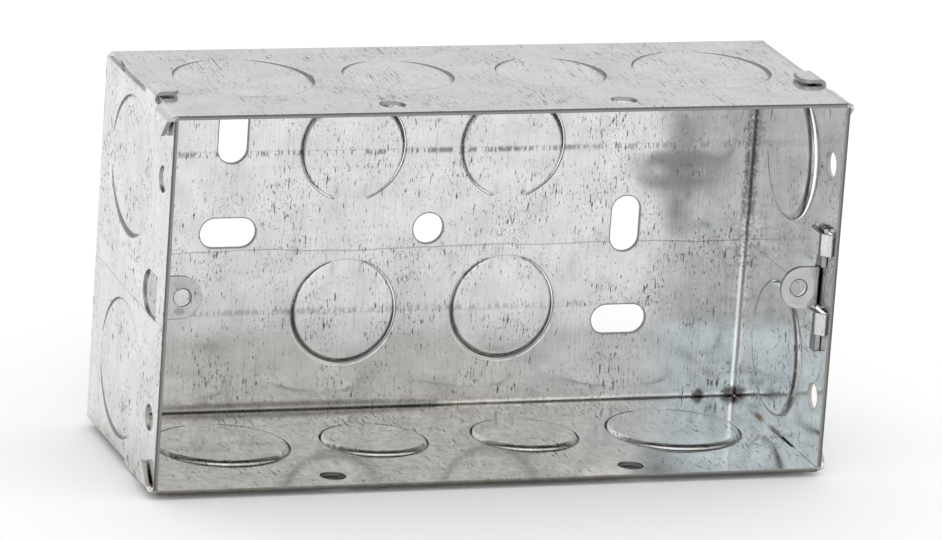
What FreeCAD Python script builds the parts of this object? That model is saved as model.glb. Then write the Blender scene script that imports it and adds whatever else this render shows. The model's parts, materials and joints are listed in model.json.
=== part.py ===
import FreeCAD, Part
import math
import os

# Flush back box for a double wiring plate: one blank of galvanised steel sheet, pierced, lanced and folded
# into an open tray, with a loose screw lug that slides in two straps pressed out of the right end wall.
# Frame: +X to the right, +Y into the wall, +Z up. The origin is the centre of the back plate's outer face.

# Tray
box_length = 131.0
box_height = 72.0
box_depth = 47.0
sheet = 0.8
fold_radius = 0.6
corner_gap = 0.08
relief_radius = 0.6
relief_depth = 1.6

# Tabs of the end walls, folded over the long walls
tab_setback = 16.3
tab_width = 6.4
tab_reach = 4.8
tab_corner_radius = 1.8
tab_fold_radius = 0.5
tab_lift = 0.3
tab_clearance = 0.35

# Ears of the long walls, wrapped round onto the end walls
ear_width = 9.1
ear_setback = 0.4
ear_drop = 5.1
ear_tip_setback = 5.0
ear_tip_radius = 1.9
ear_slope_start = 0.6
ear_fold_radius = 1.05
ear_lift = 0.35

# Cable entries: round blanks left hanging on a tie
small_entry_radius = 10.4
large_entry_radius = 13.1
entry_kerf = 0.08
entry_mouth = 0.15
entry_edge_slope = 1.3
entry_tie = 6.5
wall_entry_depth = 21.4
wall_entry_inset = 20.5
wall_entry_lift = 0.9
end_entry_inset = 16.5
upper_end_entry_lift = 1.3
lower_end_entry_lift = 0.85
back_entry_lift = 0.5
back_entry_offset_x = 15.9
back_entry_offset_z = 16.1

# Fixing holes
centre_hole_radius = 3.0
slot_length = 11.0
slot_width = 5.8
slot_offset_x = 39.75
slot_offset_z = 19.1
edge_hole_radius = 2.5
edge_hole_setback = 5.35
top_hole_offset = 22.5
bottom_hole_offset = 29.3
end_hole_offset = 22.7

# Plate screws, M3.5, and the two lugs that take them
screw_inset = 5.175
screw_radius = 1.75
collar_radius = 2.5
collar_length = 0.9
dish_radius = 3.2
dish_depth = 0.25
lug_setback = 5.4
lug_half_height = 4.1
lug_nose_offset = 0.5
lance_kerf = 0.15

# Sliding lug and its straps
lug_sheet = 0.9
lug_fold_radius = 0.4
slide_clearance = 0.15
stop_clearance = 0.05
strap_height = 4.3
strap_spacing = 11.1
strap_front = 1.5
strap_width = 8.6
strap_slope = 1.8
strap_shoulder_radius = 1.8
strap_foot_radius = 0.5
strap_foot_length = 0.9
tongue_half_length = 12.1
tongue_corner_radius = 0.8
pad_reach = 7.1
pad_corner_radius = 1.5

V = FreeCAD.Vector
half_length = box_length / 2
half_height = box_height / 2
wall_inside = half_length - sheet
roof_inside = half_height - sheet
fold_outside = fold_radius + sheet
end_edge = roof_inside - corner_gap
ear_outside = ear_fold_radius + sheet
ear_face = half_length + ear_lift + sheet
long_edge = ear_face - ear_outside
lug_face = lug_setback - box_depth
screw_x = half_length - screw_inset
tab_y = (tab_setback - tab_width / 2 - box_depth, tab_setback + tab_width / 2 - box_depth)
outer_entry_x = half_length - wall_entry_inset
inner_entry_x = outer_entry_x / 3
end_entry_z = half_height - end_entry_inset
strap_inside = wall_inside - lug_sheet - 2 * slide_clearance
strap_y = (strap_front - box_depth, strap_front - box_depth + strap_width)
strap_level_y = (strap_y[0] + strap_slope, strap_y[1] - strap_slope)
strap_low = strap_spacing / 2


def slab(x, y, z):
    """Block between two limits along each axis."""
    size = [abs(b - a) for a, b in (x, y, z)]
    return Part.makeBox(*size, V(min(x), min(y), min(z)))


def rod(radius, start, along):
    """Round bar from a point, along a vector."""
    return Part.makeCylinder(radius, V(*along).Length, V(*start), V(*along))


def sheet_of(edges, along):
    """Closed outline pushed along a vector."""
    return Part.Face(Part.Wire(edges)).extrude(V(*along))


def polygon(corners):
    """Edges of a straight-sided outline."""
    return Part.makePolygon([V(*c) for c in corners] + [V(*corners[0])]).Edges


def fold(centre, start, axis, width, inner_radius, thickness):
    """Bent quarter of a strip: its section, swung from the start direction about an axis along its width."""
    base = V(*centre)
    out = V(*start)
    side = V(*axis)
    inner = base + out * inner_radius
    outer = base + out * (inner_radius + thickness)
    corners = [inner, outer, outer + side * width, inner + side * width]
    return Part.Face(Part.makePolygon(corners + corners[:1])).revolve(base, side, 90.0)


def mirrored(shape, axis):
    """The same shape on the other side of the box."""
    return shape.mirror(V(0, 0, 0), V(*axis))


def edges_along(shape, axis, x=None, y=None, z=None):
    """Edges along an axis whose middle lies on the given planes, for rounding."""
    found = []
    for edge in shape.Edges:
        ends = [v.Point for v in edge.Vertexes]
        if len(ends) < 2 or abs((ends[1] - ends[0]).dot(V(*axis))) < 0.99 * edge.Length:
            continue
        middle = (ends[0] + ends[1]) * 0.5
        places = ((x, middle.x), (y, middle.y), (z, middle.z))
        if all(want is None or abs(want - got) < 1e-4 for want, got in places):
            found.append(edge)
    return found


def long_wall():
    """Top wall with its fold, notched at both ends where the end walls' tabs pass."""
    bend_z = half_height - fold_outside
    bend = fold((-long_edge, -fold_outside, bend_z), (0, 1, 0), (1, 0, 0), 2 * long_edge, fold_radius, sheet)
    flat = slab((-long_edge, long_edge), (-box_depth, -fold_outside), (roof_inside, half_height))
    notch_y = (tab_y[0] - tab_clearance, tab_y[1] + tab_clearance)
    notch = slab((wall_inside - tab_clearance, half_length), notch_y, (roof_inside, half_height))
    return bend.fuse(flat.cut([notch, mirrored(notch, (1, 0, 0))]))


def end_wall():
    """Right end wall with its fold."""
    bend_x = half_length - fold_outside
    bend = fold((bend_x, -fold_outside, end_edge), (0, 1, 0), (0, 0, -1), 2 * end_edge, fold_radius, sheet)
    flat = slab((wall_inside, half_length), (-box_depth, -fold_outside), (-end_edge, end_edge))
    return bend.fuse(flat)


def corner_tab():
    """Tab at the top right corner: up from the end wall's edge, then folded over the long wall."""
    bend_x = wall_inside - tab_fold_radius
    bend_z = half_height + tab_lift - tab_fold_radius
    stem = slab((wall_inside, half_length), tab_y, (end_edge, bend_z))
    bend = fold((bend_x, tab_y[1], bend_z), (1, 0, 0), (0, -1, 0), tab_width, tab_fold_radius, sheet)
    tip_x = half_length - tab_reach
    tip = slab((tip_x, bend_x), tab_y, (half_height + tab_lift, half_height + tab_lift + sheet))
    tip = tip.makeFillet(tab_corner_radius, edges_along(tip, (0, 0, 1), x=tip_x))
    return stem.fuse([bend, tip])


def ear_outline():
    """Ear seen from the end: two shoulders at the fold, and a side from each that meets the round tip."""
    front = ear_setback - box_depth
    rear = front + ear_width
    tip = V(half_length, front + ear_tip_setback, half_height - ear_drop + ear_tip_radius)
    shoulder_z = half_height - ear_slope_start

    def touch(shoulder, turn):
        """Angle at which the side from a shoulder meets the tip."""
        away = shoulder - tip
        return math.atan2(away.z, away.y) + turn * math.acos(ear_tip_radius / away.Length)

    def on_tip(angle):
        return tip + V(0, math.cos(angle), math.sin(angle)) * ear_tip_radius

    front_shoulder = V(half_length, front, shoulder_z)
    rear_shoulder = V(half_length, rear, shoulder_z)
    front_angle = touch(front_shoulder, 1)
    rear_angle = touch(rear_shoulder, -1) + 2 * math.pi
    middle = on_tip((front_angle + rear_angle) / 2)
    round_tip = Part.Arc(on_tip(front_angle), middle, on_tip(rear_angle)).toShape()
    corners = [on_tip(rear_angle), rear_shoulder, V(half_length, rear, half_height)]
    corners += [V(half_length, front, half_height), front_shoulder, on_tip(front_angle)]
    return [round_tip] + [Part.makeLine(a, b) for a, b in zip(corners, corners[1:])]


def corner_ear():
    """Ear at the top right corner: the long wall's end, bent down over the end wall and cut to a tongue."""
    y = (ear_setback - box_depth, ear_setback - box_depth + ear_width)
    bend_z = half_height - ear_outside
    bend = fold((long_edge, y[0], bend_z), (0, 0, 1), (0, 1, 0), ear_width, ear_fold_radius, sheet)
    strip = slab((ear_face - sheet, ear_face), y, (half_height - ear_drop, bend_z))
    reach = ear_face - long_edge
    outline = sheet_of(ear_outline(), (reach, 0, 0))
    outline.translate(V(long_edge - half_length, 0, 0))
    return bend.fuse(strip).common(outline)


def at_all_corners(shape):
    """A shape of the top right corner, repeated at the other three."""
    top = [shape, mirrored(shape, (1, 0, 0))]
    return top + [mirrored(s, (0, 0, 1)) for s in top]


def entry(radius, lift):
    """Cable entry punched up through a sheet below its local XY plane: the hole, and the blank on its tie.

    The hole is drawn wider on the punch's side. The blank is tilted up on its tie, and its sheared edge
    slopes in, more so away from the tie.
    """
    blank_radius = radius - entry_kerf
    half_tie = entry_tie / 2
    chord = math.sqrt(blank_radius**2 - half_tie**2)
    mouth_radius = radius + entry_mouth
    ahead = slab((-mouth_radius, mouth_radius), (-chord, mouth_radius), (-sheet, 0))
    hole = Part.makeCone(mouth_radius, radius, sheet, V(0, 0, -sheet)).common(ahead)
    lean = entry_edge_slope / 2
    punched_face = Part.Wire(Part.makeCircle(blank_radius, V(0, 0, -sheet)))
    raised_face = Part.Wire(Part.makeCircle(blank_radius - lean, V(0, -lean, 0)))
    blank = Part.makeLoft([punched_face, raised_face], True, True).common(ahead)
    tilt = math.degrees(math.asin(lift / (chord + blank_radius)))
    hinge = V(0, -chord, 0)
    blank.rotate(hinge, V(1, 0, 0), tilt)
    root = Part.makeLine(V(-half_tie, -chord, 0), V(half_tie, -chord, 0)).extrude(V(0, 0, -sheet))
    tie = root.revolve(hinge, V(1, 0, 0), tilt)
    return hole, blank.fuse(tie)


def all_entries():
    """Every cable entry as (hole, blank), set on its wall with the blank's free side away from the tie."""
    places = []
    for side in (-1, 1):
        for up, end_entry_lift in ((-1, lower_end_entry_lift), (1, upper_end_entry_lift)):
            for x, radius in ((inner_entry_x, small_entry_radius), (outer_entry_x, large_entry_radius)):
                spot = V(side * x, -wall_entry_depth, up * roof_inside)
                places.append((spot, V(0, -1, 0), V(0, 0, -up), radius, wall_entry_lift))
            spot = V(side * wall_inside, -wall_entry_depth, up * end_entry_z)
            places.append((spot, V(0, -1, 0), V(-side, 0, 0), large_entry_radius, end_entry_lift))
            spot = V(side * back_entry_offset_x, -sheet, up * back_entry_offset_z)
            places.append((spot, V(0, 0, up), V(0, -1, 0), small_entry_radius, back_entry_lift))
    pairs = []
    for spot, free, push, radius, lift in places:
        turn = FreeCAD.Rotation(free.cross(push), free, push, "XYZ")
        pair = entry(radius, lift)
        for shape in pair:
            shape.Placement = FreeCAD.Placement(spot, turn).multiply(shape.Placement)
        pairs.append(pair)
    return pairs


def slot(x, z, along):
    """Round-ended slot through the back plate, long way along the given axis."""
    radius = slot_width / 2
    run = V(*along) * (slot_length / 2 - radius)
    wide = V(along[2], 0, along[0]) * radius
    middle = V(x, 0, z)
    corners = [middle + run + wide, middle + run - wide, middle - run - wide, middle - run + wide]
    block = sheet_of(polygon(corners), (0, -sheet, 0))
    ends = [rod(radius, middle + run, (0, -sheet, 0)), rod(radius, middle - run, (0, -sheet, 0))]
    return block.fuse(ends)


def fixing_holes():
    """Screw hole and slots of the back plate, and the pairs of holes beside the rim."""
    holes = [rod(centre_hole_radius, (0, 0, 0), (0, -sheet, 0))]
    upright = (0, 0, 1)
    level = (1, 0, 0)
    holes.append(slot(-slot_offset_x, slot_offset_z, upright))
    holes.append(slot(-slot_offset_x, 0, level))
    holes.append(slot(slot_offset_x, 0, upright))
    holes.append(slot(slot_offset_x, -slot_offset_z, level))
    y = edge_hole_setback - box_depth
    for side in (-1, 1):
        holes.append(rod(edge_hole_radius, (side * top_hole_offset, y, roof_inside), (0, 0, sheet)))
        holes.append(rod(edge_hole_radius, (side * bottom_hole_offset, y, -half_height), (0, 0, sheet)))
        holes.append(rod(edge_hole_radius, (wall_inside, y, side * end_hole_offset), (sheet, 0, 0)))
        holes.append(rod(edge_hole_radius, (-half_length, y, side * end_hole_offset), (sheet, 0, 0)))
    return holes


def lug_plate(root_x, nose_x, z, thickness):
    """D-shaped screw lug facing the front, from fold to round nose, dished into a drawn thread collar."""
    side = math.copysign(1.0, nose_x)
    rim = [
        V(root_x, lug_face, z + lug_half_height),
        V(nose_x, lug_face, z + lug_half_height),
        V(nose_x, lug_face, z - lug_half_height),
        V(root_x, lug_face, z - lug_half_height),
    ]
    tip = V(nose_x - side * lug_half_height, lug_face, z)
    nose = Part.Arc(rim[1], tip, rim[2]).toShape()
    sides = [Part.makeLine(rim[i], rim[j]) for i, j in ((0, 1), (2, 3), (3, 0))]
    flat = sheet_of([sides[0], nose, sides[1], sides[2]], (0, thickness, 0))
    collar = rod(collar_radius, (side * screw_x, lug_face + thickness, z), (0, collar_length, 0))
    hole = rod(screw_radius, (side * screw_x, lug_face, z), (0, thickness + collar_length, 0))
    dish = Part.makeCone(dish_radius, screw_radius, dish_depth, V(side * screw_x, lug_face, z), V(0, 1, 0))
    return flat.fuse(collar).cut([hole, dish])


def fixed_lug():
    """Lug lanced out of the left end wall and folded inwards: the window it leaves, and the lug."""
    root_x = fold_radius - wall_inside
    bend_y = lug_face - fold_radius
    high = (root_x, bend_y, lug_half_height)
    bend = fold(high, (-1, 0, 0), (0, 0, -1), 2 * lug_half_height, fold_radius, sheet)
    nose_x = -screw_x - lug_nose_offset
    lug = bend.fuse(lug_plate(root_x, nose_x, 0, sheet))
    bend_run = (fold_radius + sheet / 2) * math.pi / 2
    nose_y = bend_y + bend_run + nose_x - root_x
    tall = lug_half_height + lance_kerf
    window = slab((-half_length, -wall_inside), (bend_y, nose_y), (-tall, tall))
    window = window.fuse(rod(tall, (-half_length, nose_y, 0), (sheet, 0, 0)))
    return window, lug


def strap():
    """Upper strap of the right end wall, a rounded hump between two slits: its window, and the bridge."""
    z = strap_low
    room = strap_inside - sheet
    ends_y = (strap_y[0] - strap_foot_length, strap_y[1] + strap_foot_length)
    room_side = [
        (wall_inside, ends_y[0], z),
        (wall_inside, strap_y[0], z),
        (room, strap_level_y[0], z),
        (room, strap_level_y[1], z),
        (wall_inside, strap_y[1], z),
        (wall_inside, ends_y[1], z),
    ]
    wall_side = [(x + sheet, y, z) for x, y, z in reversed(room_side)]
    bridge = sheet_of(polygon(room_side + wall_side), (0, 0, strap_height))
    bends = (
        (strap_shoulder_radius, room, strap_level_y),
        (strap_shoulder_radius - sheet, strap_inside, strap_level_y),
        (strap_foot_radius, wall_inside, strap_y),
        (strap_foot_radius + sheet, half_length, strap_y),
    )
    for radius, x, places in bends:
        for y in places:
            bridge = bridge.makeFillet(radius, edges_along(bridge, (0, 0, 1), x=x, y=y))
    window = slab((wall_inside, half_length), ends_y, (z - lance_kerf, z + strap_height + lance_kerf))
    return window, bridge


def box_body():
    """The whole tray: plate and walls, then corners, then everything lanced or pierced."""
    inner_x = half_length - fold_outside
    inner_z = half_height - fold_outside
    plate = slab((-inner_x, inner_x), (-sheet, 0), (-inner_z, inner_z))
    top = long_wall()
    right = end_wall()
    tray = plate.fuse([top, mirrored(top, (0, 0, 1)), right, mirrored(right, (1, 0, 0))])
    groove = ((long_edge + half_length) / 2, 0, (end_edge + half_height) / 2)
    relief = rod(relief_radius, groove, (0, -relief_depth, 0))
    lug_window, lug = fixed_lug()
    strap_window, bridge = strap()
    entries = all_entries()
    cuts = at_all_corners(relief) + fixing_holes() + [hole for hole, blank in entries]
    cuts += [lug_window, strap_window, mirrored(strap_window, (0, 0, 1))]
    adds = at_all_corners(corner_tab()) + at_all_corners(corner_ear()) + [blank for hole, blank in entries]
    adds += [lug, bridge, mirrored(bridge, (0, 0, 1))]
    return tray.cut(cuts).fuse(adds).removeSplitter()


def adjustable_lug():
    """Loose lug of the right end: a leaf behind both straps, and the screw lug folded from its front edge."""
    z = lug_half_height + stop_clearance - strap_low
    back = wall_inside - slide_clearance
    front = back - lug_sheet
    root_x = front - lug_fold_radius
    bend_y = lug_face + lug_sheet + lug_fold_radius
    low = (root_x, bend_y, z - lug_half_height)
    bend = fold(low, (0, -1, 0), (0, 0, 1), 2 * lug_half_height, lug_fold_radius, lug_sheet)
    flange = lug_plate(root_x, screw_x + lug_nose_offset, z, lug_sheet)
    tongue_y = (strap_level_y[0] + slide_clearance, strap_level_y[1] - slide_clearance)
    tongue = slab((front, back), tongue_y, (z - tongue_half_length, z + tongue_half_length))
    tongue = tongue.makeFillet(tongue_corner_radius, edges_along(tongue, (1, 0, 0)))
    bay = lug_half_height + lug_fold_radius
    notch = slab((front, back), (tongue_y[0], bend_y), (z - bay, z + bay))
    pad_rear = bend_y + pad_reach
    pad = slab((front, back), (bend_y, pad_rear), (z - lug_half_height, z + lug_half_height))
    pad = pad.makeFillet(pad_corner_radius, edges_along(pad, (1, 0, 0), y=pad_rear))
    return bend.fuse([flange, tongue.cut(notch), pad]).removeSplitter()


os.makedirs("parts", exist_ok=True)
for name, shape in (("box_body", box_body()), ("adjustable_lug", adjustable_lug())):
    solid = shape.Solids[0]
    print(name, "solids", len(shape.Solids), "valid", solid.isValid(), "volume mm3", round(solid.Volume, 1))
    solid.exportStep("parts/" + name + ".step")
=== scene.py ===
import json
import math

import bmesh
import bpy
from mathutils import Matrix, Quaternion, Vector


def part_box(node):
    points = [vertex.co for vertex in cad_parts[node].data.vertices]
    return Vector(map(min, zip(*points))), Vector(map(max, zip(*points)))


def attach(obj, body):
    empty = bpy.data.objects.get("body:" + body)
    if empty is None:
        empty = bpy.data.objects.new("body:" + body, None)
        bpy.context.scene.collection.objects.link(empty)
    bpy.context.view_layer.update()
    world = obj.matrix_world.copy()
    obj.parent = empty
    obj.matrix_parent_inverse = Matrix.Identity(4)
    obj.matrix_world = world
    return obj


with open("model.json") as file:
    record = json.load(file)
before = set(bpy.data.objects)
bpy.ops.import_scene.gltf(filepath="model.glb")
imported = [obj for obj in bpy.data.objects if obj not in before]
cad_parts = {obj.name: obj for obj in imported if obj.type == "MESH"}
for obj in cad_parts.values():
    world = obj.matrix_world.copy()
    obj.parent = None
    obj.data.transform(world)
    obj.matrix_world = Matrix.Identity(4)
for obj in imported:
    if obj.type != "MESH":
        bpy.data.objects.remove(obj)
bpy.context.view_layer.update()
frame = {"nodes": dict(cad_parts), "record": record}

# Folded tray
# One blank of hot-dip galvanised steel, 0.8 mm thick, pierced and lanced flat, then folded up into a box.
# Its whole shape is the solid that carries it; the finish follows the blank as it lay before folding.
MM = 0.001
tray = frame["nodes"]["box_body"]
tray_low, tray_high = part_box("box_body")
ear_stand = 1.15 * MM
tab_stand = 1.1 * MM
half_length = (tray_high.x - ear_stand) / MM
half_height = (tray_high.z - tab_stand) / MM
depth = -tray_low.y / MM
sheet = 0.8
back_wall, end_wall, long_wall = 0.0, 100.0, 200.0
small_entry, large_entry = 10.4, 13.1
entries = (
    (15.9, 16.1, back_wall, small_entry, 0, -1),
    (15.0, 21.4, long_wall, small_entry, 0, -1),
    (45.0, 21.4, long_wall, large_entry, 0, -1),
    (21.4, 19.5, end_wall, large_entry, -1, 0),
)


def linear(code):
    """An sRGB hex colour as linear red, green, blue and alpha."""
    shares = [int(code[i : i + 2], 16) / 255 for i in (1, 3, 5)]
    return [c / 12.92 if c <= 0.04045 else ((c + 0.055) / 1.055) ** 2.4 for c in shares] + [1.0]


def add_node(tree, kind, feeds=None, **settings):
    """A shader node with its settings; each socket in feeds is linked to another node or set to a value."""
    made = tree.nodes.new("ShaderNode" + kind)
    for name, value in settings.items():
        setattr(made, name, value)
    for socket, value in (feeds or {}).items():
        if isinstance(value, bpy.types.Node):
            value = value.outputs[0]
        if isinstance(value, bpy.types.NodeSocket):
            tree.links.new(value, made.inputs[socket])
        else:
            made.inputs[socket].default_value = value
    return made


def new_material(name):
    """An empty node material, its tree and its Principled shader."""
    material = bpy.data.materials.new(name)
    material.use_nodes = True
    tree = material.node_tree
    tree.nodes.clear()
    shader = add_node(tree, "BsdfPrincipled")
    add_node(tree, "OutputMaterial", {"Surface": shader})
    return material, tree, shader


def blank_places(tree):
    """Where a point lies on its wall and lay on the flat blank before folding, in millimetres."""
    coords = add_node(tree, "TexCoord")
    place = add_node(tree, "VectorMath", {0: coords.outputs["Object"], "Scale": 1 / MM}, operation="SCALE")
    x, y, z = add_node(tree, "SeparateXYZ", {0: place}).outputs
    far_x = add_node(tree, "Math", {0: x}, operation="ABSOLUTE")
    far_z = add_node(tree, "Math", {0: z}, operation="ABSOLUTE")
    in_depth = add_node(tree, "Math", {0: y, 1: -1.0}, operation="MULTIPLY")
    to_end = add_node(tree, "Math", {0: half_length, 1: far_x}, operation="SUBTRACT")
    to_long = add_node(tree, "Math", {0: half_height, 1: far_z}, operation="SUBTRACT")
    not_end = add_node(tree, "Math", {0: to_long, 1: in_depth}, operation="MINIMUM")
    not_long = add_node(tree, "Math", {0: to_end, 1: in_depth}, operation="MINIMUM")
    on_end = add_node(tree, "Math", {0: to_end, 1: not_end}, operation="LESS_THAN")
    on_long = add_node(tree, "Math", {0: to_long, 1: not_long}, operation="LESS_THAN")
    side_x = add_node(tree, "Math", {0: x}, operation="SIGN")
    side_z = add_node(tree, "Math", {0: z}, operation="SIGN")
    fold_x = add_node(tree, "Math", {0: side_x, 1: on_end}, operation="MULTIPLY")
    fold_z = add_node(tree, "Math", {0: side_z, 1: on_long}, operation="MULTIPLY")
    # seen at a slant, the marks of the folded walls are too fine to show, so they are drawn twice as coarse
    coarse_depth = add_node(tree, "Math", {0: in_depth, 1: 0.5}, operation="MULTIPLY")
    across = add_node(tree, "Math", {0: fold_x, 1: coarse_depth, 2: x}, operation="MULTIPLY_ADD")
    along = add_node(tree, "Math", {0: fold_z, 1: coarse_depth, 2: z}, operation="MULTIPLY_ADD")
    # the same spot of every like wall: its two places on the wall, and the wall's own number
    past_x = add_node(tree, "Math", {0: in_depth, 1: far_x}, operation="SUBTRACT")
    past_z = add_node(tree, "Math", {0: in_depth, 1: far_z}, operation="SUBTRACT")
    wall_u = add_node(tree, "Math", {0: past_x, 1: on_end, 2: far_x}, operation="MULTIPLY_ADD")
    wall_w = add_node(tree, "Math", {0: past_z, 1: on_long, 2: far_z}, operation="MULTIPLY_ADD")
    if_end = add_node(tree, "Math", {0: on_end, 1: end_wall}, operation="MULTIPLY")
    wall = add_node(tree, "Math", {0: on_long, 1: long_wall, 2: if_end}, operation="MULTIPLY_ADD")
    spot = add_node(tree, "CombineXYZ", {0: wall_u, 1: wall_w, 2: wall})
    return {"place": place, "x": x, "z": z, "in_depth": in_depth, "to_end": to_end, "to_long": to_long,
            "on_end": on_end, "on_long": on_long, "across": across, "along": along, "spot": spot,
            "normal": coords.outputs["Normal"]}


def drawn_noise(tree, blank, width, length, seed, detail=2.0):
    """Noise drawn out along the rolling direction, of a width and length in millimetres."""
    across = add_node(tree, "Math", {0: blank["across"], 1: width}, operation="DIVIDE")
    along = add_node(tree, "Math", {0: blank["along"], 1: length}, operation="DIVIDE")
    spot = add_node(tree, "CombineXYZ", {0: across, 1: along, 2: seed})
    return add_node(tree, "TexNoise", {"Vector": spot, "Scale": 1.0, "Detail": detail, "Roughness": 0.6})


def near_line(tree, value, line, reach, strength):
    """A mask that fades from its strength on a line of the given value to nothing at a reach from it."""
    off = add_node(tree, "Math", {0: value, 1: line}, operation="SUBTRACT")
    away = add_node(tree, "Math", {0: off}, operation="ABSOLUTE")
    return add_node(tree, "MapRange", {0: away, 1: reach, 2: reach * 0.3, 3: 0.0, 4: strength})


def stain(tree, place, centre, reach, ragged, strength):
    """A spot about a point, in millimetres, with a ragged grainy edge, as a mask up to its strength."""
    away = add_node(tree, "VectorMath", {0: place, 1: centre}, operation="SUBTRACT")
    shaped = add_node(tree, "VectorMath", {0: away, 1: reach}, operation="DIVIDE")
    size = add_node(tree, "VectorMath", {0: shaped}, operation="LENGTH")
    noise = add_node(tree, "TexNoise", {"Vector": place, "Scale": 1.8, "Detail": 4.0, "Roughness": 0.65})
    worn = add_node(tree, "Math", {0: noise, 1: ragged, 2: size.outputs["Value"]}, operation="MULTIPLY_ADD")
    clean, full = 1.0 + ragged * 0.55, 0.7 + ragged * 0.4
    return add_node(tree, "MapRange", {0: worn, 1: clean, 2: full, 3: 0.0, 4: strength})


def from_entry_cut(tree, blank):
    """Distance in millimetres from the nearest round cut of a cable entry, on either face of its wall.

    There is no cut at the tie, so the distance is made larger there, less so where the tie is creased,
    as in the lower half of the box."""
    smooth_tie = add_node(tree, "MapRange", {0: blank["z"], 1: -1.0, 2: 1.0, 3: 0.08, 4: 1.0})
    nearest = None
    for u, w, wall, radius, tie_u, tie_w in entries:
        away = add_node(tree, "VectorMath", {0: blank["spot"], 1: (u, w, wall)}, operation="DISTANCE")
        past = add_node(tree, "Math", {0: away.outputs["Value"], 1: radius}, operation="SUBTRACT")
        off = add_node(tree, "Math", {0: past}, operation="ABSOLUTE")
        tie = (u + tie_u * radius, w + tie_w * radius, wall)
        from_tie = add_node(tree, "VectorMath", {0: blank["spot"], 1: tie}, operation="DISTANCE")
        uncut = add_node(tree, "MapRange", {0: from_tie.outputs["Value"], 1: 3.4, 2: 2.7, 3: 0.0,
                                            4: smooth_tie})
        off = add_node(tree, "Math", {0: off, 1: uncut}, operation="ADD")
        nearest = add_node(tree, "Math", {0: nearest, 1: off}, operation="MINIMUM") if nearest else off
    return nearest


def from_fixing_hole(tree, blank):
    """Distance in millimetres from the edge of the nearest screw hole or slot of the back plate."""
    level, upright = 0, 2
    hole_radius, slot_radius, straight = 3.0, 2.9, 2.6
    slot_x, slot_z = 39.75, 19.1
    any_depth = 1000.0
    holes = (
        (0.0, 0.0, hole_radius, 0.0, level),
        (-slot_x, slot_z, slot_radius, straight, upright),
        (-slot_x, 0.0, slot_radius, straight, level),
        (slot_x, 0.0, slot_radius, straight, upright),
        (slot_x, -slot_z, slot_radius, straight, level),
    )
    nearest = None
    for x, z, radius, run, way in holes:
        spine = [0.0, any_depth, 0.0]
        spine[way] = run
        off = add_node(tree, "VectorMath", {0: blank["place"], 1: (x, 0.0, z)}, operation="SUBTRACT")
        either_way = add_node(tree, "VectorMath", {0: off}, operation="ABSOLUTE")
        past_spine = add_node(tree, "VectorMath", {0: either_way, 1: spine}, operation="SUBTRACT")
        clear = add_node(tree, "VectorMath", {0: past_spine, 1: (0.0, 0.0, 0.0)}, operation="MAXIMUM")
        away = add_node(tree, "VectorMath", {0: clear}, operation="LENGTH")
        past = add_node(tree, "Math", {0: away.outputs["Value"], 1: radius}, operation="SUBTRACT")
        nearest = add_node(tree, "Math", {0: nearest, 1: past}, operation="MINIMUM") if nearest else past
    return nearest


def sheared_edges(tree, blank):
    """A mask of the faces that lie square to their own wall, where the press tool cut through the sheet."""
    faces = add_node(tree, "SeparateXYZ", {0: blank["normal"]})
    nx, ny, nz = [add_node(tree, "Math", {0: n}, operation="ABSOLUTE") for n in faces.outputs]
    on_wall = add_node(tree, "Math", {0: blank["on_end"], 1: blank["on_long"]}, operation="MAXIMUM")
    on_back = add_node(tree, "Math", {0: 1.0, 1: on_wall}, operation="SUBTRACT")
    flat_end = add_node(tree, "Math", {0: nx, 1: blank["on_end"]}, operation="MULTIPLY")
    flat_long = add_node(tree, "Math", {0: nz, 1: blank["on_long"], 2: flat_end}, operation="MULTIPLY_ADD")
    flat = add_node(tree, "Math", {0: ny, 1: on_back, 2: flat_long}, operation="MULTIPLY_ADD")
    # the fixed lug, inside the left end near the rim, faces the front
    left_end = add_node(tree, "Math", {0: blank["x"], 1: 0.0}, operation="LESS_THAN")
    lug_start = add_node(tree, "Math", {0: blank["to_end"], 1: sheet * 1.05}, operation="GREATER_THAN")
    lug_depth = 38.0
    by_lug = add_node(tree, "Math", {0: blank["in_depth"], 1: lug_depth}, operation="GREATER_THAN")
    for condition in (left_end, lug_start, by_lug, blank["on_end"]):
        ny = add_node(tree, "Math", {0: ny, 1: condition}, operation="MULTIPLY")
    # the tabs and ears bend from the plane of one wall into that of the other
    from_corner = add_node(tree, "Math", {0: blank["to_end"], 1: blank["to_long"]}, operation="MAXIMUM")
    bend_reach = 1.4
    at_corner = add_node(tree, "Math", {0: from_corner, 1: bend_reach}, operation="LESS_THAN")
    either = add_node(tree, "Math", {0: nx, 1: nz}, operation="MAXIMUM")
    bent = add_node(tree, "Math", {0: either, 1: at_corner}, operation="MULTIPLY")
    for more in (ny, bent):
        flat = add_node(tree, "Math", {0: flat, 1: more}, operation="MAXIMUM")
    return add_node(tree, "MapRange", {0: flat, 1: 0.32, 2: 0.28, 3: 0.0, 4: 1.0})


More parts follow.
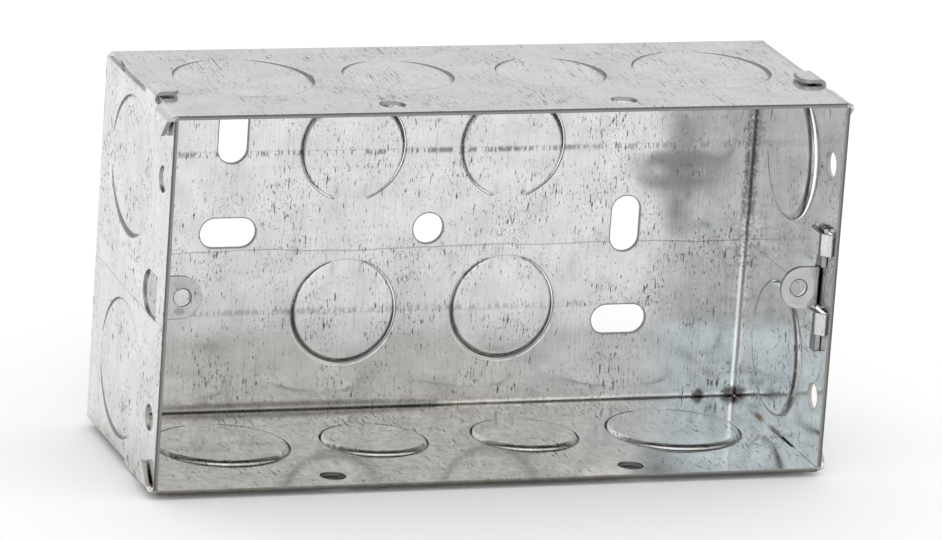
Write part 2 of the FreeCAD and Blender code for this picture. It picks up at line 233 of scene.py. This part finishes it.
def rolling_marks(tree, blank):
    """Dark marks along the rolling direction: large and small dashes, specks, and two rows of ticks."""
    fields = add_node(tree, "TexNoise", {"Vector": blank["place"], "Scale": 1 / 11.0, "Detail": 2.0})
    patchy = add_node(tree, "MapRange", {0: fields, 1: 0.35, 2: 0.65, 3: -0.035, 4: 0.03})
    # each kind of dash: its width and length in millimetres, its own seed, where it starts, its strength
    dashes = (
        (0.5, 2.8, 11.0, 0.612, 0.95),
        (0.36, 1.2, 17.0, 0.6, 0.75),
        (0.3, 0.4, 29.0, 0.615, 0.75),
    )
    dark = None
    for width, length, seed, start, strength in dashes:
        noise = drawn_noise(tree, blank, width, length, seed, 4.0)
        dense = add_node(tree, "Math", {0: noise, 1: patchy}, operation="ADD")
        share = add_node(tree, "MapRange", {0: dense, 1: start, 2: start + 0.06, 3: 0.0, 4: strength})
        dark = add_node(tree, "Math", {0: dark, 1: share}, operation="MAXIMUM") if dark else share
    strokes = drawn_noise(tree, blank, 0.5, 3.0, 31.0)
    groups = drawn_noise(tree, blank, 1.6, 40.0, 37.0)
    ticks = add_node(tree, "Math", {0: strokes, 1: groups}, operation="ADD")
    ticked = add_node(tree, "MapRange", {0: ticks, 1: 0.97, 2: 1.06, 3: 0.0, 4: 0.72})
    not_end = add_node(tree, "Math", {0: 1.0, 1: blank["on_end"]}, operation="SUBTRACT")
    paler = add_node(tree, "MapRange", {0: blank["across"], 1: 15.0, 2: 50.0, 3: 1.0, 4: 0.4})
    shown = add_node(tree, "Math", {0: not_end, 1: paler}, operation="MULTIPLY")
    # each row: its place, how far its ticks hang off the line, and how clear they are
    for row, hang, clear in ((15.9, -0.45, 1.0), (-16.2, 0.45, 0.5)):
        band = near_line(tree, blank["along"], row + hang, 0.75, clear)
        row_ticks = add_node(tree, "Math", {0: ticked, 1: band}, operation="MULTIPLY")
        row_line = near_line(tree, blank["along"], row, 0.16, 0.2)
        whole_row = add_node(tree, "Math", {0: row_ticks, 1: row_line}, operation="MAXIMUM")
        kept_row = add_node(tree, "Math", {0: whole_row, 1: shown}, operation="MULTIPLY")
        dark = add_node(tree, "Math", {0: dark, 1: kept_row}, operation="MAXIMUM")
    return dark


def galvanised_sheet():
    """Hot-dip galvanised steel, skin-passed on a mill: pale grey zinc that mirrors softly.

    The eye sees short dark dashes along the rolling direction, rows of them where rolls marked the strip,
    faint clouds, a brownish film on the floor of the box, and greyer bare steel at the cut edges."""
    material, tree, shader = new_material("galvanised_sheet_skin_passed")
    blank = blank_places(tree)
    zinc = linear("#E3E3E2")
    zinc_dull = linear("#D0D1D1")
    mark = linear("#5C5C5B")
    scratch = linear("#A3A3A2")

    cloud_size, crumb_size, wave_size = 7.0, 1.7, 10.0
    clouds = add_node(tree, "TexNoise", {"Vector": blank["place"], "Scale": 1 / cloud_size, "Detail": 5.0,
                                         "Roughness": 0.65})
    cloudy = add_node(tree, "MapRange", {0: clouds, 1: 0.35, 2: 0.68, 3: 0.0, 4: 1.0})
    base = add_node(tree, "Mix", {0: cloudy, 6: zinc, 7: zinc_dull}, data_type="RGBA")

    grain = drawn_noise(tree, blank, 0.22, 7.0, 3.0)
    grained = add_node(tree, "MapRange", {0: grain, 1: 0.3, 2: 0.75, 3: 1.05, 4: 0.92})
    toned = add_node(tree, "VectorMath", {0: base.outputs[2], "Scale": grained}, operation="SCALE")

    lines = drawn_noise(tree, blank, 0.45, 11.0, 7.0)
    line_share = add_node(tree, "MapRange", {0: lines, 1: 0.56, 2: 0.74, 3: 0.0, 4: 0.36})
    lined = add_node(tree, "Mix", {0: line_share, 6: toned.outputs[0], 7: scratch}, data_type="RGBA")

    dark = rolling_marks(tree, blank)
    dashed = add_node(tree, "Mix", {0: dark, 6: lined.outputs[2], 7: mark}, data_type="RGBA")

    # one fine line that a roll left across the whole strip
    wander = drawn_noise(tree, blank, 24.0, 60.0, 23.0)
    level = add_node(tree, "Math", {0: wander, 1: 2.2, 2: blank["along"]}, operation="MULTIPLY_ADD")
    roll_line = near_line(tree, level, -2.6, 0.2, 0.42)
    ruled = add_node(tree, "Mix", {0: roll_line, 6: dashed.outputs[2], 7: mark}, data_type="RGBA")

    # painted highlight: a narrow near-white band along the inside of the folds of the two ends, where the
    # folds shine
    through = add_node(tree, "Math", {0: blank["to_end"], 1: blank["to_long"]}, operation="MINIMUM")
    from_rear = add_node(tree, "Math", {0: through, 1: blank["in_depth"]}, operation="MAXIMUM")
    from_end_fold = add_node(tree, "Math", {0: blank["to_end"], 1: blank["in_depth"]}, operation="MAXIMUM")
    fold_highlight_and_grey_front = add_node(tree, "MapRange", {0: from_end_fold, 1: 1.9, 2: 1.5, 3: 0.0, 4: 0.9})
    into_sheet = add_node(tree, "Math", {0: blank["to_end"], 1: blank["in_depth"]}, operation="MINIMUM")
    inside = add_node(tree, "Math", {0: into_sheet, 1: sheet * 0.75}, operation="GREATER_THAN")
    fold_highlight_inside = add_node(tree, "Math", {0: fold_highlight_and_grey_front, 1: inside}, operation="MULTIPLY")
    bright = add_node(tree, "Mix", {0: fold_highlight_inside, 6: ruled.outputs[2], 7: linear("#FBFBFA")},
                      data_type="RGBA")

    # bare steel where the sheet was cut: the rim is burnished on one half of its thickness, torn on the other
    cut = sheared_edges(tree, blank)
    torn = add_node(tree, "MapRange", {0: through, 1: 0.5, 2: 0.3, 3: 0.0, 4: 1.0})
    rim_colours = {0: torn, 6: linear("#908E8B"), 7: linear("#6B6865")}
    rim_steel = add_node(tree, "Mix", rim_colours, data_type="RGBA")
    at_rim = add_node(tree, "Math", {0: blank["in_depth"], 1: depth - 0.3}, operation="GREATER_THAN")
    back_reach = 2.0
    at_back = add_node(tree, "Math", {0: blank["in_depth"], 1: back_reach}, operation="LESS_THAN")
    hole_colours = {0: at_back, 6: linear("#A9A7A4"), 7: linear("#75736F")}
    hole_steel = add_node(tree, "Mix", hole_colours, data_type="RGBA")
    steel_colours = {0: at_rim, 6: hole_steel.outputs[2], 7: rim_steel.outputs[2]}
    steel = add_node(tree, "Mix", steel_colours, data_type="RGBA")
    edged = add_node(tree, "Mix", {0: cut, 6: bright.outputs[2], 7: steel.outputs[2]}, data_type="RGBA")

    # painted shade: a fine dark line along the round cuts of the entries, where the cut lies in shade
    entry_cut = from_entry_cut(tree, blank)
    entry_cut_shade = add_node(tree, "MapRange", {0: entry_cut, 1: 0.24, 2: 0.08, 3: 0.0, 4: 0.42})
    cut_shade_colour = linear("#6A6967")
    entry_shaded = add_node(tree, "Mix", {0: entry_cut_shade, 6: edged.outputs[2], 7: cut_shade_colour}, data_type="RGBA")

    # painted shade: a fine dark outline round the screw hole and the slots of the back plate, where their cut
    # walls lie in shade
    hole_edge = from_fixing_hole(tree, blank)
    hole_rim_shade = add_node(tree, "MapRange", {0: hole_edge, 1: 0.3, 2: 0.16, 3: 0.0, 4: 0.65})
    hole_rim_shade_on_back = add_node(tree, "Math", {0: hole_rim_shade, 1: at_back}, operation="MULTIPLY")
    outlined = add_node(tree, "Mix", {0: hole_rim_shade_on_back, 6: entry_shaded.outputs[2], 7: cut_shade_colour}, data_type="RGBA")

    # a film of brown dust lies on the floor of the box, in small clouds, thinning to the right
    low = add_node(tree, "MapRange", {0: blank["z"], 1: -32.6, 2: -34.4, 3: 0.0, 4: 1.0})
    not_right = add_node(tree, "MapRange", {0: blank["x"], 1: 52.0, 2: 5.0, 3: 0.0, 4: 1.0})
    dusty = add_node(tree, "Math", {0: low, 1: not_right}, operation="MULTIPLY")
    crumbs = add_node(tree, "TexNoise", {"Vector": blank["place"], "Scale": 1 / crumb_size, "Detail": 5.0,
                                         "Roughness": 0.7})
    crumbly = add_node(tree, "MapRange", {0: crumbs, 1: 0.38, 2: 0.66, 3: 0.0, 4: 1.0})
    dust = add_node(tree, "Mix", {0: crumbly, 6: linear("#FFFEFA"), 7: linear("#DCD5CA")}, data_type="RGBA")
    coat = add_node(tree, "Mix", {0: dusty, 6: outlined.outputs[2], 7: dust.outputs[2]}, data_type="RGBA",
                    blend_type="MULTIPLY")

    # painted shade of small dents beside the ties of the back entries, painted shade along the left half of
    # the rear fold of the floor, dirt and rust in the folds at the right end, the fixed lug made greyer with
    # a dark spot below its hole, and a duller patch inside the right end; each has its place, its reach in
    # millimetres, how ragged and how strong it is, and its colour
    tie_w = 7.6
    grime = "#4E4A46"
    rust = "#5A3C26"
    marks = (
        # painted shade: grey spots beside each tie stand in for the shading of the bent facets there
        (blank["spot"], (13.1, tie_w, back_wall), (0.6, 1.5, 1.0), 0.7, 0.2, "#828282"),
        (blank["spot"], (18.7, tie_w, back_wall), (0.6, 1.5, 1.0), 0.7, 0.2, "#828282"),
        # painted shade: dark grey along the left half and middle of the floor's rear fold
        (blank["place"], (-28.0, -1.2, -34.8), (37.0, 1.5, 1.5), 0.6, 0.65, "#6A6866"),
        (blank["place"], (0.0, -1.6, -35.0), (7.5, 1.3, 1.3), 0.4, 0.6, "#6C6E6E"),
        (blank["place"], (57.3, -1.0, -34.9), (1.4, 1.6, 1.5), 1.0, 0.9, grime),
        (blank["place"], (63.8, -1.2, -34.6), (2.0, 1.6, 1.5), 1.6, 0.85, grime),
        (blank["place"], (64.2, -2.0, -34.6), (1.5, 1.6, 1.2), 2.0, 0.6, rust),
        (blank["place"], (64.7, -15.0, -35.0), (0.7, 2.4, 0.7), 2.4, 0.8, "#8A6848"),
        (blank["place"], (64.7, -24.0, -35.0), (0.6, 4.0, 0.6), 2.4, 0.7, rust),
        # the face of the fixed lug is made greyer
        (blank["place"], (-60.8, -41.6, 0.0), (6.0, 1.2, 6.0), 0.5, 0.45, "#8E8E8D"),
        (blank["place"], (64.3, -24.0, 24.0), (0.9, 40.0, 28.0), 0.3, 0.3, "#8C8C8C"),
        (blank["place"], (64.3, -1.3, 12.0), (1.2, 1.2, 24.0), 2.4, 0.75, grime),
        (blank["place"], (-61.0, -41.6, -2.6), (1.2, 0.6, 0.8), 0.5, 0.3, grime),
    )
    for place, centre, reach, ragged, strength, colour in marks:
        spot = stain(tree, place, centre, reach, ragged, strength)
        coat = add_node(tree, "Mix", {0: spot, 6: coat.outputs[2], 7: linear(colour)}, data_type="RGBA")

    rough = add_node(tree, "MapRange", {0: cloudy, 1: 0.0, 2: 1.0, 3: 0.11, 4: 0.16})
    rough_marks = add_node(tree, "Math", {0: dark, 1: 0.25, 2: rough}, operation="MULTIPLY_ADD")
    rough_cut = add_node(tree, "Math", {0: cut, 1: 0.2, 2: rough_marks}, operation="MULTIPLY_ADD")
    # the punch rolled the edges of the entries over and the folds are round; other edges are only eased
    plain_ease, entry_ease, fold_ease = 0.25 * MM, 0.7 * MM, 0.9 * MM
    at_entry = add_node(tree, "MapRange", {0: entry_cut, 1: 2.2, 2: 1.5, 3: plain_ease, 4: entry_ease})
    at_fold = add_node(tree, "MapRange", {0: from_rear, 1: 2.8, 2: 1.8, 3: plain_ease, 4: fold_ease})
    ease = add_node(tree, "Math", {0: at_entry, 1: at_fold}, operation="MAXIMUM")
    eased = add_node(tree, "Bevel", {"Radius": ease}, samples=6)
    wave_height, grain_height = 0.07 * MM, 0.01 * MM
    waves = add_node(tree, "TexNoise", {"Vector": blank["place"], "Scale": 1 / wave_size, "Detail": 1.0})
    wavy = add_node(tree, "Bump", {"Height": waves, "Strength": 1.0, "Distance": wave_height,
                                   "Normal": eased})
    ripple = add_node(tree, "Bump", {"Height": grain, "Strength": 0.3, "Distance": grain_height,
                                     "Normal": wavy})
    tree.links.new(coat.outputs[2], shader.inputs["Base Color"])
    tree.links.new(rough_cut.outputs[0], shader.inputs["Roughness"])
    tree.links.new(ripple.outputs[0], shader.inputs["Normal"])
    # the rolled grain runs along the strip, so reflections blur across it and stay sharp along it
    not_end = add_node(tree, "Math", {0: 1.0, 1: blank["on_end"]}, operation="SUBTRACT")
    across_grain = add_node(tree, "CombineXYZ", {0: not_end, 1: blank["on_end"]})
    tree.links.new(across_grain.outputs[0], shader.inputs["Tangent"])
    shader.inputs["Anisotropic"].default_value = 0.6
    shader.inputs["Metallic"].default_value = 1.0
    return material


tray.data.materials.clear()
tray.data.materials.append(galvanised_sheet())

# Thread of the fixed lug
# The M3.5 thread that a tap cut into the drawn collar of the left lug, a ridge wound round its wall.
# The tap leaves bright bare steel, which shows as fine bright turns inside the hole.
mounts = {m["name"]: m for m in frame["record"]["mounts"]}


def tapped_steel():
    """Steel fresh from the tap: bright and smooth, a little darker than the zinc round it."""
    material, tree, shader = new_material("tapped_bare_steel")
    shader.inputs["Base Color"].default_value = linear("#B9B7B3")
    shader.inputs["Metallic"].default_value = 1.0
    shader.inputs["Roughness"].default_value = 0.22
    return material


thread_steel = tapped_steel()


def thread(name, mount, body):
    """The ridge of a mount's thread: a ring of profiles along a helix, fading out at both ends."""
    pitch = 0.6 * MM
    wall = (mount["dims"]["r_mm"] + 0.02) * MM
    crest = wall - 0.3 * MM
    base_half = 0.42 * pitch
    crest_half = 0.08 * pitch
    steps = 40
    mouth = Vector(mount["pos_m"])
    count = int(steps * (mount["dims"]["length_mm"] * MM / pitch - 1))
    build = bmesh.new()
    rings = []
    for i in range(count + 1):
        turn = 2 * math.pi * i / steps
        out = Vector((math.cos(turn), 0.0, math.sin(turn)))
        middle = mouth + Vector((0.0, (0.5 + i / steps) * pitch, 0.0))
        height = min(1.0, 4 * i / steps, 4 * (count - i) / steps)
        top = wall + (crest - wall) * max(height, 0.05)
        profile = ((wall, -base_half), (top, -crest_half), (top, crest_half), (wall, base_half))
        rings.append([build.verts.new(middle + out * r + Vector((0.0, y, 0.0))) for r, y in profile])
    for one, two in zip(rings, rings[1:]):
        for k in range(4):
            build.faces.new((one[k], one[k - 1], two[k - 1], two[k]))
    build.faces.new(rings[0])
    build.faces.new(rings[-1])
    bmesh.ops.recalc_face_normals(build, faces=build.faces)
    mesh = bpy.data.meshes.new(name)
    build.to_mesh(mesh)
    build.free()
    mesh.materials.append(thread_steel)
    ridge = bpy.data.objects.new(name, mesh)
    bpy.context.scene.collection.objects.link(ridge)
    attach(ridge, body)


thread("fixed_lug_thread", mounts["fixed_lug_screw"], "box")

# Sliding screw lug
# A loose lug of zinc-plated steel strip: a leaf that slides behind two straps of the right end wall.
# Its front edge is folded inwards into a D, dished and drawn through to a collar for the plate screw.
lug = frame["nodes"]["adjustable_lug"]


def plated_strip():
    """Bright zinc plate over soft steel strip: smoother and whiter than the sheet, faintly clouded."""
    material, tree, shader = new_material("bright_zinc_plated_strip")
    coords = add_node(tree, "TexCoord")
    cloud_size = 1.2 * MM
    noise = add_node(tree, "TexNoise", {"Vector": coords.outputs["Object"], "Scale": 1 / cloud_size,
                                        "Detail": 4.0})
    plate = add_node(tree, "Mix", {0: noise, 6: linear("#F2F2F0"), 7: linear("#D8D9D9")}, data_type="RGBA")
    # the face that meets the plate is made greyer
    outward = add_node(tree, "SeparateXYZ", {0: coords.outputs["Normal"]})
    to_front = add_node(tree, "MapRange", {0: outward.outputs[1], 1: -0.4, 2: -0.9, 3: 0.0, 4: 0.75})
    fold_highlight_and_grey_front = add_node(tree, "Mix", {0: to_front, 6: plate.outputs[2], 7: linear("#A9AAAA")}, data_type="RGBA")
    # the cut edge round the lug's D is bare grey steel
    depth_at = add_node(tree, "SeparateXYZ", {0: coords.outputs["Object"]})
    lug_rear = -40.6 * MM
    in_lug = add_node(tree, "Math", {0: depth_at.outputs[1], 1: lug_rear}, operation="LESS_THAN")
    steepness = add_node(tree, "Math", {0: outward.outputs[1]}, operation="ABSOLUTE")
    steep = add_node(tree, "Math", {0: steepness, 1: 0.4}, operation="LESS_THAN")
    sheared = add_node(tree, "Math", {0: in_lug, 1: steep}, operation="MULTIPLY")
    tone = add_node(tree, "Mix", {0: sheared, 6: fold_highlight_and_grey_front.outputs[2], 7: linear("#7C7B79")}, data_type="RGBA")
    rough = add_node(tree, "MapRange", {0: noise, 1: 0.3, 2: 0.7, 3: 0.14, 4: 0.26})
    eased = add_node(tree, "Bevel", {"Radius": 0.25 * MM}, samples=4)
    dent_depth = 0.03 * MM
    dents = add_node(tree, "Bump", {"Height": noise, "Strength": 0.5, "Distance": dent_depth,
                                    "Normal": eased})
    tree.links.new(tone.outputs[2], shader.inputs["Base Color"])
    tree.links.new(rough.outputs[0], shader.inputs["Roughness"])
    tree.links.new(dents.outputs[0], shader.inputs["Normal"])
    shader.inputs["Metallic"].default_value = 1.0
    return material


lug.data.materials.clear()
lug.data.materials.append(plated_strip())
thread("sliding_lug_thread", mounts["sliding_lug_screw"], "lug")

# Table
# A plain white studio table under the box, large enough to reach past every view.
# Matt white board, which keeps the soft shadow of the box.
table_half = 20.0
table_gap = 0.02 * MM
table_mesh = bpy.data.meshes.new("table")
table_corners = [(side_x * table_half, side_y * table_half, tray_low.z - table_gap)
                 for side_x, side_y in ((-1, -1), (1, -1), (1, 1), (-1, 1))]
table_mesh.from_pydata(table_corners, [], [(0, 1, 2, 3)])
table = bpy.data.objects.new("table", table_mesh)
bpy.context.scene.collection.objects.link(table)
table_white, table_tree, table_shader = new_material("matt_white_board")
table_shader.inputs["Base Color"].default_value = linear("#EFEFEF")
table_shader.inputs["Roughness"].default_value = 0.9
table_shader.inputs["Specular IOR Level"].default_value = 0.0
table_mesh.materials.append(table_white)

# Studio light
# A pale even room, brighter overhead, where a wide ceiling of soft light hangs, with walls a little dimmer.
# A large cool softbox stands in front on the left, and the right-hand corner of the box throws it back.
world = bpy.data.worlds.new("studio")
bpy.context.scene.world = world
world.use_nodes = True
sky = world.node_tree
sky.nodes.clear()
looking = add_node(sky, "TexCoord").outputs["Generated"]
direction = add_node(sky, "SeparateXYZ", {0: looking})
overhead = add_node(sky, "MapRange", {0: direction.outputs[2], 1: 0.3, 2: 0.55, 3: 0.8, 4: 1.25})
in_front = add_node(sky, "MapRange", {0: direction.outputs[1], 1: 0.2, 2: -0.6, 3: 0.0, 4: 0.08})
brightness = add_node(sky, "Math", {0: overhead, 1: in_front}, operation="ADD")
to_softbox = Vector((-0.32, -0.91, 0.27)).normalized()
facing = add_node(sky, "VectorMath", {0: looking, 1: to_softbox}, operation="DOT_PRODUCT")
softbox = add_node(sky, "MapRange", {0: facing.outputs["Value"], 1: 0.84, 2: 0.97, 3: 0.0, 4: 1.0})
lit = add_node(sky, "Math", {0: softbox, 1: 0.75, 2: brightness}, operation="MULTIPLY_ADD")
tint = add_node(sky, "Mix", {0: softbox, 6: linear("#FFFFFF"), 7: linear("#E8F2F8")}, data_type="RGBA")
room = add_node(sky, "Background", {"Color": tint.outputs[2], "Strength": lit})
add_node(sky, "OutputWorld", {"Surface": room})
bpy.context.scene.view_settings.view_transform = "Standard"

# Camera
# A long lens to the left of the box and above it, turned a little about its own axis.
# It stands where the photograph was taken from, so that each wall hides what it hides there.
camera_place = Vector((-452.0, -1320.0, 393.0)) * MM
camera_aim = Vector((1.24, -23.5, -1.61)) * MM
camera_roll = math.radians(4.006)
camera_data = bpy.data.cameras.new("camera")
camera_data.lens = 291.3
camera_data.sensor_width = 36.0
camera_data.clip_end = 100.0
camera = bpy.data.objects.new("camera", camera_data)
camera.location = camera_place
camera.rotation_mode = "QUATERNION"
look = (camera_aim - camera_place).to_track_quat("-Z", "Y")
camera.rotation_quaternion = look @ Quaternion((0.0, 0.0, 1.0), camera_roll)
bpy.context.scene.collection.objects.link(camera)
bpy.context.scene.camera = camera
